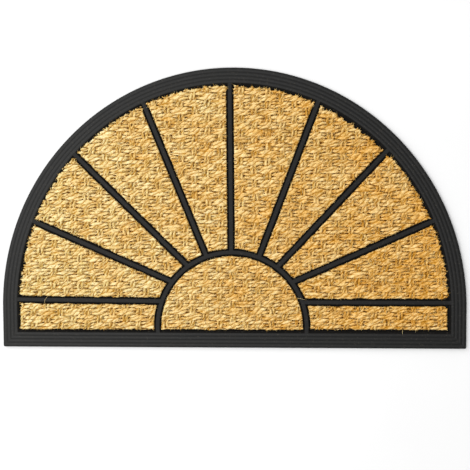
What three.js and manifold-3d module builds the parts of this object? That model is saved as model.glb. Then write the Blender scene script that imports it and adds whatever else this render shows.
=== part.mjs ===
// Half round coir doormat. One moulded rubber tray carries a backing sheet, a ridged border,
// nine sun ray bars and an arch. Eleven cut panels of woven coir cloth lie in its recesses.
//
// Millimetres, +Z up. The mat lies flat: its straight edge runs along X on the -Y side and
// its half circle bulges towards +Y. The origin is the middle of the outline's box, on the
// underside.

import * as THREE from "three";
import { mergeVertices } from "three/addons/utils/BufferGeometryUtils.js";
import Module from "manifold-3d";

const wasm = await Module();
wasm.setup();

// Outline: a half round rim, rising a little more than a half circle, on two short straight sides.
const MAT_WIDTH = 750;
const MAT_DEPTH = 450;
const SIDE_HEIGHT = 64;
const HALF_WIDTH = MAT_WIDTH / 2;
const FRONT_EDGE_Y = -MAT_DEPTH / 2;
const RIM_BASE_Y = FRONT_EDGE_Y + SIDE_HEIGHT;
const RIM_RISE = MAT_DEPTH - SIDE_HEIGHT;
const CORNER_RADIUS = 2.5;
const LEAST_CORNER_RADIUS = 0.5;

// Rubber tray, from the floor up.
const BACKING_THICKNESS = 2.5;
const EDGE_WALL_HEIGHT = 2;
const EDGE_SHOULDER = { inset: 0.5, height: 4.2 };
const BORDER_VALLEY_HEIGHT = 6.4;
const BORDER_CREST_HEIGHT = 7;
const BORDER_RIDGES = 4;
const RIDGE_PITCH = 5.8;
const FIRST_RIDGE_INSET = 1.4;
const BORDER_INSET = FIRST_RIDGE_INSET + BORDER_RIDGES * RIDGE_PITCH;

// Inside the last ridge the border steps down to a sloping lip, which ends just short of the
// coir panel that is laid nearest to the outline.
const LIP_SECTION = [
  { inset: BORDER_INSET + 0.5, height: 5.4 },
  { inset: 27.6, height: 4.6 },
  { inset: 27.9, height: 4.2 },
  { inset: 28, height: BACKING_THICKNESS },
];

// Bars and arch share one rounded section, half of it given here from the foot to the crown.
const BAR_FOOT_HEIGHT = 1.2;
const BAR_HALF_SECTION = [
  { across: 3.6, height: BAR_FOOT_HEIGHT },
  { across: 3.6, height: BACKING_THICKNESS },
  { across: 3.3, height: 5.4 },
  { across: 2.5, height: 6.2 },
  { across: 1.1, height: 6.5 },
];
const BAR_END_INSET = 22.5;

// Sun arch: the circle on which its bar is centred.
const ARCH_RADIUS = 120.5;
const ARCH_CENTRE_Y = -190.5;

// Ray bars from left to right. Each lies on a line that crosses the mat's middle line at the
// given Y and points outwards at the given angle. The two halves differ by a few millimetres,
// as hand laid mould strips do.
const RAYS = [
  { angle: 179.45, crossing: -150.2 },
  { angle: 156.4, crossing: -159.7 },
  { angle: 135.3, crossing: -161.9 },
  { angle: 112.1, crossing: -176.1 },
  { angle: 90.25, crossing: ARCH_CENTRE_Y },
  { angle: 69, crossing: -192 },
  { angle: 46.7, crossing: -171.5 },
  { angle: 23.7, crossing: -160.8 },
  { angle: 0, crossing: -150.4 },
];

// Coir panels: how far their cut edges stay from the outline, the ray panels from left to right.
// They were cut and laid by hand, so these differ by up to three millimetres.
const RAY_PANEL_INSETS = [29.3, 28.3, 28.7, 29, 30.4, 31.5, 30.1, 30];
const SUN_PANEL_INSET = 30.8;
const BASE_PANEL_LEFT_INSETS = { side: 30.1, bottom: 30.2 };
const BASE_PANEL_RIGHT_INSETS = { side: 31.4, bottom: 31.6 };

// Coir panels: how far their cut edges stay from a bar's middle line, and how high they lie
// above the backing.
const PANEL_BAR_CLEARANCE = 6.2;
const PANEL_GLUE_GAP = 0.3;
const PANEL_SECTION = [
  { inset: 0.8, height: 0 },
  { inset: 0, height: 1.2 },
  { inset: 0, height: 4.6 },
  { inset: 0.6, height: 5.6 },
  { inset: 1.8, height: 6.2 },
];

// Facets of the curves.
const RIM_STEPS = 60;
const CORNER_STEPS = 3;
const RIDGE_STEPS = 4;
const ARCH_STEPS = 96;
const SUN_STEPS = 48;
const BASE_PANEL_STEPS = 6;
const STEPS_PER_RADIAN = 20;
const LEAST_STEPS = 3;

// How far to either side of a bar's angle its crossing with the rim is looked for, and how finely.
const RIM_SEARCH_SPAN = Math.PI / 3;
const RIM_SEARCH_HALVINGS = 40;

// Points nearer than this are one point.
const MERGE_DISTANCE = 1e-4;

const archCentre = new THREE.Vector2(0, ARCH_CENTRE_Y);

const rubber = new THREE.MeshStandardMaterial({ color: 0x32302f, roughness: 0.62, metalness: 0 });
const coir = new THREE.MeshStandardMaterial({ color: 0xd2a862, roughness: 0.95, metalness: 0 });

// Even steps from one value to another, both ends included, each turned into a point.
function pointsBetween(from, to, steps, pointAt) {
  const points = [];
  for (let i = 0; i <= steps; i++) {
    points.push(pointAt(from + ((to - from) * i) / steps));
  }
  return points;
}

function circlePoint(centre, radius, angle) {
  return new THREE.Vector2(Math.cos(angle), Math.sin(angle)).multiplyScalar(radius).add(centre);
}

// A point of the rim, the outline's curved part, drawn in squarely by an inset. The turn runs
// from 0 at the right-hand side to a half turn at the left.
function rimPoint(inset, turn) {
  const outwards = new THREE.Vector2(Math.cos(turn) / HALF_WIDTH, Math.sin(turn) / RIM_RISE).normalize();
  const point = new THREE.Vector2(HALF_WIDTH * Math.cos(turn), RIM_BASE_Y + RIM_RISE * Math.sin(turn));
  return point.addScaledVector(outwards, -inset);
}

// The mat's outline drawn in by an inset, anticlockwise from its right-hand front corner.
function matOutline(inset) {
  const corner = Math.max(CORNER_RADIUS - inset, LEAST_CORNER_RADIUS);
  const cornerX = HALF_WIDTH - inset - corner;
  const cornerY = FRONT_EDGE_Y + inset + corner;
  const right = new THREE.Vector2(cornerX, cornerY);
  const left = new THREE.Vector2(-cornerX, cornerY);
  return [
    ...pointsBetween(-Math.PI / 2, 0, CORNER_STEPS, (angle) => circlePoint(right, corner, angle)),
    ...pointsBetween(0, Math.PI, RIM_STEPS, (turn) => rimPoint(inset, turn)),
    ...pointsBetween(Math.PI, 1.5 * Math.PI, CORNER_STEPS, (angle) => circlePoint(left, corner, angle)),
  ];
}

// One closed solid through a stack of loops, each with the same number of points and
// anticlockwise seen from above, with a flat cap on the first and on the last.
function stackedSolid(loops) {
  const count = loops[0].points.length;
  const vertices = loops.flatMap(({ points, height }) => points.flatMap((p) => [p.x, p.y, height]));
  const triangles = [];
  for (const [a, b, c] of THREE.ShapeUtils.triangulateShape(loops[0].points, [])) {
    triangles.push(c, b, a);
  }
  for (let ring = 0; ring < loops.length - 1; ring++) {
    for (let i = 0; i < count; i++) {
      const here = ring * count + i;
      const next = ring * count + ((i + 1) % count);
      triangles.push(here, next, next + count, here, next + count, here + count);
    }
  }
  const last = (loops.length - 1) * count;
  for (const [a, b, c] of THREE.ShapeUtils.triangulateShape(loops.at(-1).points, [])) {
    triangles.push(last + a, last + b, last + c);
  }
  const geometry = new THREE.BufferGeometry();
  geometry.setAttribute("position", new THREE.Float32BufferAttribute(vertices, 3));
  geometry.setIndex(triangles);
  return geometry;
}

// Backing and border in one: up the outer wall, over the ridges, and down the lip to the
// sunken floor.
function backingAndBorder() {
  const section = [
    { inset: 0, height: 0 },
    { inset: 0, height: EDGE_WALL_HEIGHT },
    EDGE_SHOULDER,
  ];
  const relief = BORDER_CREST_HEIGHT - BORDER_VALLEY_HEIGHT;
  for (let i = 0; i <= BORDER_RIDGES * RIDGE_STEPS; i++) {
    const turn = i / RIDGE_STEPS;
    section.push({
      inset: FIRST_RIDGE_INSET + turn * RIDGE_PITCH,
      height: BORDER_VALLEY_HEIGHT + relief * Math.abs(Math.sin(Math.PI * turn)),
    });
  }
  section.push(...LIP_SECTION);
  return stackedSolid(section.map(({ inset, height }) => ({ points: matOutline(inset), height })));
}

// The bar's whole section, anticlockwise, about a middle line at the given distance.
function barSection(middle) {
  const rising = BAR_HALF_SECTION.map(({ across, height }) => new THREE.Vector2(middle + across, height));
  const falling = BAR_HALF_SECTION.map(({ across, height }) => new THREE.Vector2(middle - across, height));
  return [...rising, ...falling.reverse()];
}

// A ray as a point on the mat's middle line and a unit direction outwards.
function rayLine({ angle, crossing }) {
  const turn = THREE.MathUtils.degToRad(angle);
  return {
    start: new THREE.Vector2(0, crossing),
    direction: new THREE.Vector2(Math.cos(turn), Math.sin(turn)),
  };
}

// A line moved sideways, to the left of its direction where the distance is positive.
function movedSideways({ start, direction }, distance) {
  const sideways = new THREE.Vector2(-direction.y, direction.x).multiplyScalar(distance);
  return { start: start.clone().add(sideways), direction };
}

// Where a line, followed forwards, leaves a circle about the arch's centre, as an angle there.
function archCrossing({ start, direction }, radius) {
  const toStart = start.clone().sub(archCentre);
  const along = toStart.dot(direction);
  const reach = Math.sqrt(along * along - toStart.lengthSq() + radius * radius) - along;
  return toStart.addScaledVector(direction, reach).angle();
}

// Where a line, followed forwards, leaves the rim drawn in by an inset, as a turn of the rim.
// The turn is found by halving a span, whose low end lies to the line's right.
function rimCrossing({ start, direction }, inset) {
  let low = Math.max(0, direction.angle() - RIM_SEARCH_SPAN);
  let high = Math.min(Math.PI, direction.angle() + RIM_SEARCH_SPAN);
  for (let i = 0; i < RIM_SEARCH_HALVINGS; i++) {
    const middle = (low + high) / 2;
    const liesRight = direction.cross(rimPoint(inset, middle).sub(start)) < 0;
    low = liesRight ? middle : low;
    high = liesRight ? high : middle;
  }
  return (low + high) / 2;
}

// One bar, from the arch's middle circle into the border's last ridge.
function rayBar(ray) {
  const line = rayLine(ray);
  const from = circlePoint(archCentre, ARCH_RADIUS, archCrossing(line, ARCH_RADIUS));
  const to = rimPoint(BAR_END_INSET, rimCrossing(line, BAR_END_INSET));
  const geometry = new THREE.ExtrudeGeometry(new THREE.Shape(barSection(0)), {
    depth: from.distanceTo(to),
    bevelEnabled: false,
  });
  const up = new THREE.Vector3(0, 0, 1);
  const along = new THREE.Vector3(line.direction.x, line.direction.y, 0);
  const across = new THREE.Vector3().crossVectors(up, along);
  const placement = new THREE.Matrix4().makeBasis(across, up, along).setPosition(from.x, from.y, 0);
  return geometry.applyMatrix4(placement);
}

// The arch: a full ring, whose part below the border's last ridge is cut off afterwards.
function archRing() {
  const section = barSection(ARCH_RADIUS);
  const geometry = new THREE.LatheGeometry([...section, section[0].clone()], ARCH_STEPS);
  return geometry.rotateX(Math.PI / 2).translate(0, ARCH_CENTRE_Y, 0);
}

// A block that covers the ring below the border's last ridge.
function archTrim() {
  const top = FRONT_EDGE_Y + BAR_END_INSET;
  const size = MAT_WIDTH;
  return new THREE.BoxGeometry(size, size, size).translate(0, top - size / 2, 0);
}

// A closed geometry as a solid that can be joined and cut.
function toSolid(geometry) {
  geometry.deleteAttribute("normal");
  geometry.deleteAttribute("uv");
  const merged = mergeVertices(geometry, MERGE_DISTANCE);
  return new wasm.Manifold(new wasm.Mesh({
    numProp: 3,
    vertProperties: new Float32Array(merged.attributes.position.array),
    triVerts: new Uint32Array(merged.index.array),
  }));
}

function toGeometry(solid) {
  const mesh = solid.getMesh();
  const geometry = new THREE.BufferGeometry();
  geometry.setAttribute("position", new THREE.BufferAttribute(new Float32Array(mesh.vertProperties), 3));
  geometry.setIndex(new THREE.BufferAttribute(new Uint32Array(mesh.triVerts), 1));
  return geometry;
}

function rubberTray() {
  const arch = toSolid(archRing()).subtract(toSolid(archTrim()));
  let tray = toSolid(backingAndBorder()).add(arch);
  for (const ray of RAYS) {
    tray = tray.add(toSolid(rayBar(ray)));
  }
  return toGeometry(tray);
}

function stepsFor(from, to) {
  return Math.max(LEAST_STEPS, Math.ceil(Math.abs(to - from) * STEPS_PER_RADIAN));
}

// A ray panel between two neighbouring bars, the arch and the border.
function rayPanelOutline(leftRay, rightRay, outlineInset) {
  const edges = (inset) => {
    const clearance = PANEL_BAR_CLEARANCE + inset;
    const right = movedSideways(rayLine(rightRay), clearance);
    const left = movedSideways(rayLine(leftRay), -clearance);
    const rimInset = outlineInset + inset;
    const radius = ARCH_RADIUS + clearance;
    return {
      rim: { inset: rimInset, from: rimCrossing(right, rimInset), to: rimCrossing(left, rimInset) },
      arch: { radius, from: archCrossing(left, radius), to: archCrossing(right, radius) },
    };
  };
  const widest = edges(0);
  const rimSteps = stepsFor(widest.rim.from, widest.rim.to);
  const archSteps = stepsFor(widest.arch.from, widest.arch.to);
  return (inset) => {
    const { rim, arch } = edges(inset);
    return [
      ...pointsBetween(rim.from, rim.to, rimSteps, (turn) => rimPoint(rim.inset, turn)),
      ...pointsBetween(arch.from, arch.to, archSteps, (angle) => circlePoint(archCentre, arch.radius, angle)),
    ];
  };
}

// The long panel below a level bar, on the side that the sign gives: 1 right, -1 left.
function basePanelOutline(ray, sign, outlineInsets) {
  return (inset) => {
    const clearance = PANEL_BAR_CLEARANCE + inset;
    const radius = ARCH_RADIUS + clearance;
    const side = sign * (HALF_WIDTH - outlineInsets.side - inset);
    const bottom = FRONT_EDGE_Y + outlineInsets.bottom + inset;
    const top = movedSideways(rayLine(ray), -sign * clearance);
    const reach = (side - top.start.x) / top.direction.x;
    const dip = Math.asin((bottom - ARCH_CENTRE_Y) / radius);
    const from = archCrossing(top, radius);
    const to = sign > 0 ? dip : Math.PI - dip;
    const outline = [
      new THREE.Vector2(side, bottom),
      top.start.clone().addScaledVector(top.direction, reach),
      ...pointsBetween(from, to, BASE_PANEL_STEPS, (angle) => circlePoint(archCentre, radius, angle)),
    ];
    return sign > 0 ? outline : outline.reverse();
  };
}

// The sun: a little more than half a disc under the arch.
function sunOutline(inset) {
  const radius = ARCH_RADIUS - PANEL_BAR_CLEARANCE - inset;
  const bottom = FRONT_EDGE_Y + SUN_PANEL_INSET + inset;
  const dip = Math.asin((bottom - ARCH_CENTRE_Y) / radius);
  return pointsBetween(dip, Math.PI - dip, SUN_STEPS, (angle) => circlePoint(archCentre, radius, angle));
}

function coirPanel(name, outline) {
  const loops = PANEL_SECTION.map(({ inset, height }) => ({ points: outline(inset), height }));
  const panel = new THREE.Mesh(stackedSolid(loops), coir.clone());
  panel.name = name;
  return panel;
}

const tray = new THREE.Mesh(rubberTray(), rubber);
tray.name = "rubber_tray";

const panels = new THREE.Group();
panels.position.z = BACKING_THICKNESS + PANEL_GLUE_GAP;
panels.add(coirPanel("coir_sun", sunOutline));
RAY_PANEL_INSETS.forEach((inset, i) => {
  panels.add(coirPanel(`coir_ray_${i + 1}`, rayPanelOutline(RAYS[i], RAYS[i + 1], inset)));
});
panels.add(coirPanel("coir_base_left", basePanelOutline(RAYS[0], -1, BASE_PANEL_LEFT_INSETS)));
panels.add(coirPanel("coir_base_right", basePanelOutline(RAYS.at(-1), 1, BASE_PANEL_RIGHT_INSETS)));

const doormat = new THREE.Group();
doormat.name = "half_round_coir_doormat";
doormat.add(tray, panels);

export default doormat;
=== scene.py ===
"""Half round coir doormat: woven coir panels in a moulded rubber tray, lying on a pale floor.

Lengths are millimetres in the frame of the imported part, and become metres where a mesh is made.
Only the camera and the lights are placed in metres. Each coir panel is a closed slab with the
basket weave of its two-ply yarn in relief, and has loose fibres on top and round its cut edge.
"""

import math

import bpy
import numpy as np
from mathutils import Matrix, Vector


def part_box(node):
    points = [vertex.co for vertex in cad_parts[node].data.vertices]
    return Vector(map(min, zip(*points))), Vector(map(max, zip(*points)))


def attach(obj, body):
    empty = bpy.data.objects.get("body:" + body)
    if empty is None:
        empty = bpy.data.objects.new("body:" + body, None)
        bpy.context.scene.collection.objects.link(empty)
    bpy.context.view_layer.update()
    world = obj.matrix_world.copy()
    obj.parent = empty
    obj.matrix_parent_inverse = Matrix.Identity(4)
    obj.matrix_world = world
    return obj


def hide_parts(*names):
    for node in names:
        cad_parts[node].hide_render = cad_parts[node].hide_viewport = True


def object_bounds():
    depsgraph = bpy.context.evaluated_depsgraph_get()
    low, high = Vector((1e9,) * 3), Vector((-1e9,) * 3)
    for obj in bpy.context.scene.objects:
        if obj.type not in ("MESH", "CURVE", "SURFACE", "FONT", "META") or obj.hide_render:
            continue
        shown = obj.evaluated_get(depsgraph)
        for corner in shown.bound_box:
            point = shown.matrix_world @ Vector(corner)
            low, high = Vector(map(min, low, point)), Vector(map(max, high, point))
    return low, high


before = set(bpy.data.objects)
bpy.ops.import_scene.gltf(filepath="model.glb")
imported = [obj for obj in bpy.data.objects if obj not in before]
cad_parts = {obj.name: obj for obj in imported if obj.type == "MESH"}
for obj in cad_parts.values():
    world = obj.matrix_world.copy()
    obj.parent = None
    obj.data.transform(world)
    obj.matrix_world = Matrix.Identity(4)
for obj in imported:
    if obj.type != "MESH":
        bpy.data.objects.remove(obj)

CAD_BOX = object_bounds()
MM = 0.001

# The mat's outline: a half round rim on two short straight sides.
LOW = np.array(CAD_BOX[0]) / MM
HIGH = np.array(CAD_BOX[1]) / MM
HALF_WIDTH = (HIGH[0] - LOW[0]) / 2
FRONT_Y = LOW[1]
DEPTH = HIGH[1] - LOW[1]
SIDE_HEIGHT = 64
RIM_BASE_Y = FRONT_Y + SIDE_HEIGHT
RIM_RISE = DEPTH - SIDE_HEIGHT
CORNER_RADIUS = 2.5
LEAST_CORNER_RADIUS = 0.5

# The rubber tray's border, as insets and heights. The lip's insets start from the last ridge.
BACKING = 2.5
EDGE_SECTION = [(0, 0), (0, 1.4), (0.06, 2.4), (0.22, 3.4), (0.55, 4.4), (0.95, 5.1)]
LIP_SECTION = [(0.12, 5.9), (0.5, 5.35), (2.9, 4.7), (3.2, 4.45), (3.34, 4.0), (3.4, BACKING)]
LIP_END = 28
VALLEY_HEIGHT = 6.4
CREST_HEIGHT = 7.0
RIDGES = 4
RIDGE_PITCH = 5.8
RIDGE_STEPS = 10
RIDGE_BLUNTNESS = 0.85
FIRST_RIDGE_INSET = 1.4

# The tray's bars and arch. Each ray's line crosses the middle of the mat at the given Y.
BAR_HALF_WIDTH = 3.6
BAR_HEIGHT = 6.5
BAR_FOOT = 1.2
BAR_SQUARENESS = 7
BAR_END_INSET = 22.5
ARCH_RADIUS = 120.5
ARCH_CENTRE_Y = -190.5
RAYS = [
    {"angle": 179.45, "crossing": -150.2},
    {"angle": 156.4, "crossing": -159.7},
    {"angle": 135.3, "crossing": -161.9},
    {"angle": 112.1, "crossing": -176.1},
    {"angle": 90.25, "crossing": ARCH_CENTRE_Y},
    {"angle": 69.0, "crossing": -192.0},
    {"angle": 46.7, "crossing": -171.5},
    {"angle": 23.7, "crossing": -160.8},
    {"angle": 0.0, "crossing": -150.4},
]
SHARP_EDGE = math.radians(38)

# The coir cloth: pairs of weft yarn, which run along X, over and under pairs of warp yarn.
WEFT_PITCH = 5.65
PAIR_PITCH = 2 * WEFT_PITCH
PAIR_HALF_WIDTH = 5.55
PAIR_SWELL = 0.3
WEFT_SECTION = 5.7
WEFT_OVERLAP = 1.04
WEFT_SWING = 1.4
WEFT_SWING_STEEPNESS = 4
WEFT_LAY = 27.0
WEFT_TURN = 2.1
DIP_REACH = 8.6
DIP_SPREAD = 0.22
DIP_SEED = 35
DIP_STEEPNESS = 6
DIP_NARROWING = 0.32
LEAST_NARROWING = 0.35
FELTED = 0.6
WARP_PITCH = 21.5
WARP_HALF_WIDTH = 2.35
WARP_HALF_DEPTH = 1.8
WARP_OFFSET = 2.55
WARP_SWING = 1.15
WARP_BLUNTNESS = 0.8
WARP_LAY = 24.0
WARP_TURN = 1.7
WARP_GROOVE = 0.85
WANDER_SHARE = 0.35
PLY_GROOVE = 1.0
SEAM_DROP = 0.3
SEAM_SHARPNESS = 6
YARN_FULLNESS = 0.65
NO_YARN = -9.0
GAP_DEPTH = 3.1
# The depth below its neighbours that gives a point the fullest mark for painted shade.
DEEP_HOLE = 2.2
CLOTH_MIDDLE = 6.1
FIRST_WARP_NUMBER = 1000
GOLDEN_STEP = 0.618034
CELL = 0.9
ROWS_PER_WEFT = 7
PANEL_MARGIN = 6
PANEL_SHIFT = (9.7, 4.1)

# Unevenness along a yarn: strength, length over which it changes, step from yarn to yarn, seed.
PAIR_WIDTH = (0.7, 12, 4.7, 29)
WEFT_THICKNESS = (0.16, 15, 7.3, 31)
WEFT_WANDER = (0.5, 9, 5.1, 32)
WEFT_TWIST = (2.8, 26, 3.7, 33)
WEFT_NARROWING = (0.2, 8, 1.9, 34)
WARP_WANDER = (1.2, 8, 6.1, 41)
WARP_TWIST = (2.0, 50, 4.3, 42)
WARP_THICKNESS = (0.13, 20, 2.9, 43)
YARN_TINT = (0.5, 14, 3.3, 60)

# Unevenness over the cloth: strength, size along X, size along Y, seed.
PULL_ALONG_X = [(2.2, 70, 70, 50), (1.3, 26, 13, 70), (0.8, 9, 11, 170)]
PULL_ALONG_Y = [(2.0, 60, 60, 90), (0.9, 21, 14, 110), (0.75, 9, 8, 190)]
LUMPS = (0.3, 2.6, 1.8, 61)
SWELL = (0.35, 55, 55, 130)
TUFTS = (0.7, 9.5, 9.5, 22)
FRAYED_ENDS = (0.55, 3.1, 3.1, 21)
BROAD_NOTCHES = (1, 4.4, 4.4, 23)
FINE_NOTCHES = (0.6, 2.2, 2.2, 24)

# The cut edge of the cloth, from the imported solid's widest loop. It frays most where it runs
# along the wefts. Along the rim it is notched and lies over the border's lip, further at the top
# of the rim than at its sides.
WIDEST_LEVEL = 1.2
LEVEL_TOLERANCE = 0.05
EVEN_FRAY = 0.1
LEAST_FRAY = 0.25
FRAY_ALONG_WEFTS = 0.85
RIM_FRAY = 1.4
RIM_NOTCH = 4.6
RIM_ZONE, RIM_FADE = 10, 5
FRONT_ZONE, FRONT_FADE = 9, 4
LIP_COVER = 2.9
LIP_COVER_GAIN = 1.1
LIP_COVER_RISE = 170
FRONT_COVER = 0.5
EDGE_ROUND, EDGE_ROUND_DROP = 1.4, 1.5
EDGE_SAG, EDGE_SAG_DROP = 3, 0.5
LEAST_EDGE = 0.5
EDGE_MOVES = 4
LONGEST_MOVE = 0.4
FLATTEST_SLOPE = 0.3

# Loose fibres. Lengths, thicknesses and rises are the least and the greatest of each kind, and
# a rise is a share of the length. Headings turn anticlockwise from +X, the wefts' way.
FIRST_FIBRE_SEED = 500
FIBRES_PER_POINT = 0.062
WEFT_HEADING = math.radians(22)
WARP_HEADING = math.radians(72)
BRIDGE_HEADING = math.radians(62)
LAID_SPREAD = 0.42
BRIDGE_SPREAD = 0.5
FRINGE_SPREAD = 0.55
BEND_SPREAD = 0.5
FRINGE_BEND_SPREAD = 0.6
LAID_LENGTH = (5, 13)
BRIDGE_LENGTH = (4, 8)
RIM_FRINGE_LENGTH = (2.2, 5.2)
FRINGE_LENGTH = (1.4, 3.2)
FINE_FIBRE = (0.22, 0.5)
FIBRE_BUNDLE = (0.4, 0.8)
LAID_RISE = (0.0, 0.16)
WILD_RISE = (0.1, 0.5)
BRIDGE_RISE = 0.08
FRINGE_RISE = (0.0, 0.12)
FRINGE_TINT = (0.25, 1.0)
BRIDGING_SHARE = 0.4
WILD_SHARE = 0.3
BRIDGED_SEAM = 0.9
BRIDGE_LIFT = 0.2
BRIDGE_INSET = 1.5
FAR_SHARE = 0.1
NEAR_REACH, FAR_REACH = 0.8, 2.6
FRINGE_SHARE = 0.2
FRINGE_ROOT = (0.7, 2.3)
FRINGE_ROOT_HEIGHT = 6.0
FRINGE_RIM_ZONE = 8
FIBRE_STEPS = np.array([0, 0.33, 0.67, 1.0])
FIBRE_TAPER = np.array([0.75, 1.0, 0.8, 0.12])
FIBRE_BOW = np.sin(math.pi * np.minimum(FIBRE_STEPS, 0.8) / 1.1)
BEND_MIDDLE = 0.3
FIBRE_SIDES = 3
ROOT_DEPTH = 0.1
FREE_HEIGHT = 0.25
LEAST_FIBRE_HEIGHT = 0.4

# Single fibres that lie across the rubber, each as four points, and the heights of those points.
STRAY_FIBRES = [
    [(-305.1, -152.6), (-304.5, -147.6), (-302.2, -144.0), (-298.0, -139.4)],
    [(104.5, -143.2), (110.1, -144.2), (114.5, -145.6), (121.0, -146.6)],
    [(273.1, -193.6), (273.2, -197.0), (273.2, -199.4), (273.4, -202.7)],
    [(293.7, -192.5), (294.0, -194.8), (294.2, -196.1), (294.0, -198.7)],
]
STRAY_HEIGHTS = [7.6, 7.3, 7.3, 7.2]
STRAY_THICKNESS = 0.5

PANELS = ["coir_sun", *(f"coir_ray_{i}" for i in range(1, 9)), "coir_base_left", "coir_base_right"]

# The base panels come from a browner length of the cloth.
BROWNER = {"coir_base_left": 0.17, "coir_base_right": 0.08}

# Sizes of the finishes' patterns, how the fibre bundles lie round a yarn, and the heights
# between which painted shade blackens the rubber, and its roughness rises, on the way down into its grooves.
BLOOM = 22.22
DUST_FLECK = 1.923
SKIN_GRAIN = 1.111
FIBRE_SPECK = 2.381
BROWN_PATCH = 35.71
BUNDLE_LENGTH = 4
BUNDLES_PER_RADIAN = 0.95
STRANDS_PER_BUNDLE = 4.5
LOT_STEP = 61.0
FLOOR_HAZE = 333.3
SHADE_AND_DULL_TOP, SHADE_AND_DULL_FULL = 6.9, 5.3

# The studio, in metres. The camera's angles are degrees.
SENSOR_WIDTH = 36
FOCAL_LENGTH = 2.4 * SENSOR_WIDTH
CAMERA_PLACE = (0.1136, 0.0838, 1.808)
CAMERA_ANGLES = (-4.0, 3.41, -0.27)
LIGHTS = [
    {"name": "key", "place": (-1.6, 1.1, 1.35), "size": 1.6, "watts": 28},
    {"name": "overhead", "place": (-0.55, -0.15, 2.4), "size": 2.0, "watts": 42},
]
ROOM_LIGHT = 0.62
FLOOR_HALF = 6000

# Multipliers and masks that scatter the lattice points of the smooth noise.
SCATTER_X, SCATTER_Y, SCATTER_SEED, SCATTER_AGAIN = 374761393, 668265263, 974634777, 1274126177
LOW_32_BITS, LOW_16_BITS = 0xFFFFFFFF, 0xFFFF


# Camera

def place_camera():
    """Looks down on the mat from almost straight above, slightly to its right and behind."""
    lens = bpy.data.cameras.new("camera")
    lens.sensor_width = SENSOR_WIDTH
    lens.lens = FOCAL_LENGTH
    camera = bpy.data.objects.new("camera", lens)
    camera.location = CAMERA_PLACE
    camera.rotation_euler = [math.radians(angle) for angle in CAMERA_ANGLES]
    bpy.context.scene.collection.objects.link(camera)
    bpy.context.scene.camera = camera


# Smooth noise

def lattice_value(ix, iy, seed):
    """A repeatable random value from -1 to 1 for each whole-number lattice point."""
    mixed = ix.astype(np.int64) * SCATTER_X + iy.astype(np.int64) * SCATTER_Y + seed * SCATTER_SEED
    mixed &= LOW_32_BITS
    mixed = ((mixed ^ (mixed >> 13)) * SCATTER_AGAIN) & LOW_32_BITS
    mixed ^= mixed >> 16
    return (mixed & LOW_16_BITS) / (LOW_16_BITS / 2) - 1


def smooth_noise(x, y, seed):
    """Noise from -1 to 1 that changes gently over one unit of x and y."""
    x, y = np.broadcast_arrays(np.asarray(x, float), np.asarray(y, float))
    ix, iy = np.floor(x), np.floor(y)
    fx, fy = x - ix, y - iy
    fx, fy = fx * fx * (3 - 2 * fx), fy * fy * (3 - 2 * fy)
    near = lattice_value(ix, iy, seed) * (1 - fx) + lattice_value(ix + 1, iy, seed) * fx
    far = lattice_value(ix, iy + 1, seed) * (1 - fx) + lattice_value(ix + 1, iy + 1, seed) * fx
    return near * (1 - fy) + far * fy


def uneven_yarn(kind, along, yarn):
    """One kind of unevenness at that distance along the yarn of that number."""
    strength, length, step, seed = kind
    return strength * smooth_noise(along / length, yarn * step, seed)


def uneven_cloth(kind, x, y, panel=0):
    """One kind of unevenness at that point of the cloth, different for each panel number."""
    strength, size_x, size_y, seed = kind
    return strength * smooth_noise(x / size_x, y / size_y, seed + panel)


# Meshes

def mesh_object(name, points, faces, smooth=True):
    """An object of that name from points in millimetres and a list of arrays of faces."""
    mesh = bpy.data.meshes.new(name)
    counts = np.concatenate([np.full(len(f), f.shape[1]) for f in faces])
    corners = np.concatenate([f.ravel() for f in faces]).astype(np.int32)
    starts = np.concatenate([[0], np.cumsum(counts)[:-1]]).astype(np.int32)
    mesh.vertices.add(len(points))
    mesh.vertices.foreach_set("co", (np.asarray(points) * MM).astype(np.float32).ravel())
    mesh.loops.add(len(corners))
    mesh.loops.foreach_set("vertex_index", corners)
    mesh.polygons.add(len(counts))
    mesh.polygons.foreach_set("loop_start", starts)
    mesh.polygons.foreach_set("use_smooth", np.full(len(counts), smooth))
    mesh.update(calc_edges=True)
    mesh.validate()
    piece = bpy.data.objects.new(name, mesh)
    bpy.context.scene.collection.objects.link(piece)
    return piece


def add_marks(piece, name, domain, values):
    """Stores a number, or three, for each point or face corner, for the finishes to read."""
    values = np.asarray(values, np.float32)
    several = values.ndim == 2
    layer = piece.data.attributes.new(name, "FLOAT_VECTOR" if several else "FLOAT", domain)
    layer.data.foreach_set("vector" if several else "value", values.ravel())


def add_bake_map(piece, corners):
    """The flat map for the finish to be drawn on, with a place for each face corner."""
    layer = piece.data.uv_layers.new(name="OFBake")
    layer.data.foreach_set("uv", corners.astype(np.float32).ravel())


def stacked_loops(loops):
    """Points and faces of a closed solid through loops of (points, height), anticlockwise from above."""
    count = len(loops[0][0])
    points = np.concatenate([np.column_stack([xy, np.full(count, z)]) for xy, z in loops])
    here = np.arange(count)
    after = (here + 1) % count
    last = (len(loops) - 1) * count
    walls = [
        np.column_stack([low + here, low + after, low + count + after, low + count + here])
        for low in range(0, last, count)
    ]
    bottom = here[::-1][None, :]
    top = (last + here)[None, :]
    return points, [np.concatenate(walls), bottom, top]


# Rubber tray

def rim_point(inset, turn):
    """Points of the half round rim, drawn in by an inset, at angles from its right-hand end."""
    turn = np.asarray(turn, float)
    outward = np.stack([np.cos(turn) / HALF_WIDTH, np.sin(turn) / RIM_RISE], -1)
    outward /= np.linalg.norm(outward, axis=-1, keepdims=True)
    rim = np.stack([HALF_WIDTH * np.cos(turn), RIM_BASE_Y + RIM_RISE * np.sin(turn)], -1)
    return rim - outward * inset


def inset_from_rim(x, y):
    """Nearly how far a point lies inside the half round rim."""
    return (1 - np.hypot(x / HALF_WIDTH, (y - RIM_BASE_Y) / RIM_RISE)) * RIM_RISE


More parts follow.
